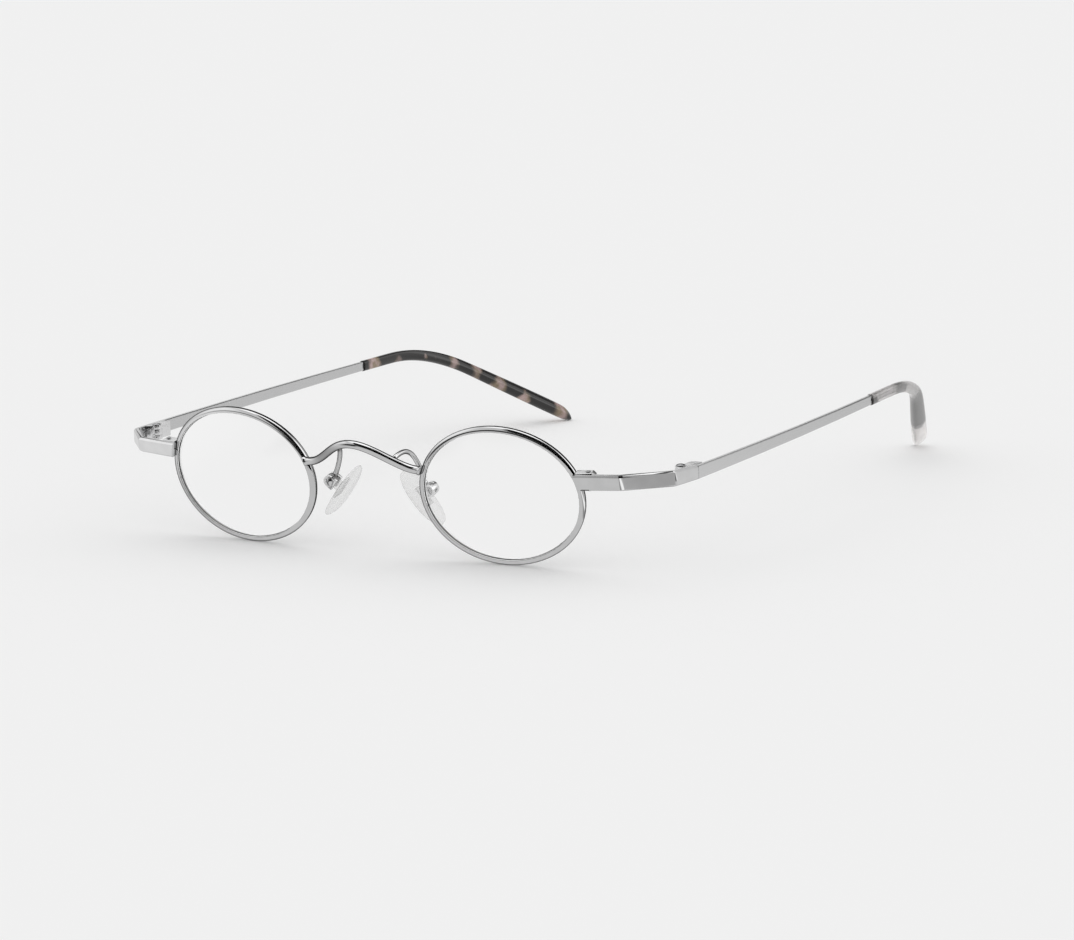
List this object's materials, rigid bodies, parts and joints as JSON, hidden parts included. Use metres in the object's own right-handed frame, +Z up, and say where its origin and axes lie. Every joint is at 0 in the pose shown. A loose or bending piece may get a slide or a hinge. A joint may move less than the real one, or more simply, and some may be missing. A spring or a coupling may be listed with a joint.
{
  "type": "reading glasses",
  "caption": "Metal reading glasses with small oval lenses, an arched bridge, clear nose pads on wire arms, angular end bars and slim folding temples with tortoise acetate tips",
  "frame": {"origin": "Middle of the footprint on the table, at table height: the rims' lowest points and the temple tips' ends rest on Z = 0.", "axes": "+Z is up. The front of the glasses faces -Y and the open temples run back along +Y. +X is the right side as someone sees it who looks at the front."},
  "size_m": [0.1304, 0.1778, 0.0285],
  "materials": {
    "frame": "polished silver-coloured metal with fine brushing on the flat temples",
    "hardware": "polished metal, small soldered parts and screws",
    "lenses": "clear, polished on both faces",
    "pads": "clear soft silicone, slightly hazy",
    "pad_core": "clear hard plastic inside the pads, polished",
    "tips": "dark tortoise acetate, polished"
  },
  "bodies": {
    "front": {"bridge": "frame", "rim_left": "frame", "lens_left": "lenses", "guard_arm_left": "frame", "pad_box_left": "hardware", "pad_screw_left": "hardware", "closing_block_upper_left": "hardware", "closing_block_lower_left": "hardware", "closing_screw_left": "hardware", "endpiece_left": "frame", "hinge_pins_left": "hardware", "front_hinge_left": "hardware", "hinge_screw_left": "hardware", "rim_right": "frame", "lens_right": "lenses", "guard_arm_right": "frame", "pad_box_right": "hardware", "pad_screw_right": "hardware", "closing_block_upper_right": "hardware", "closing_block_lower_right": "hardware", "closing_screw_right": "hardware", "endpiece_right": "frame", "hinge_pins_right": "hardware", "front_hinge_right": "hardware", "hinge_screw_right": "hardware"},
    "temple_left": {"temple_left": "frame", "temple_tip_left": "tips", "temple_hinge_left": "hardware"},
    "nose_pad_left": {"pad_mount_left": "pad_core", "nose_pad_left": "pads"},
    "temple_right": {"temple_right": "frame", "temple_tip_right": "tips", "temple_hinge_right": "hardware"},
    "nose_pad_right": {"pad_mount_right": "pad_core", "nose_pad_right": "pads"}
  },
  "joints": [
    {"name": "temple_left_fold", "type": "hinge", "parent": "front", "child": "temple_left", "pos_m": [-0.0617, -0.06572, 0.01866], "axis": [0, 0.0175, -0.9998], "range_deg": [0, 90]},
    {"name": "temple_right_fold", "type": "hinge", "parent": "front", "child": "temple_right", "pos_m": [0.0617, -0.06572, 0.01866], "axis": [0, -0.0175, 0.9998], "range_deg": [0, 85]},
    {"name": "nose_pad_left_rock", "type": "hinge", "parent": "front", "child": "nose_pad_left", "pos_m": [-0.0119, -0.07595, 0.01366], "axis": [0, 0.9785, 0.2062], "range_deg": [-8, 8]},
    {"name": "nose_pad_right_rock", "type": "hinge", "parent": "front", "child": "nose_pad_right", "pos_m": [0.0119, -0.07595, 0.01366], "axis": [0, 0.9785, 0.2062], "range_deg": [-8, 8]}
  ]
}
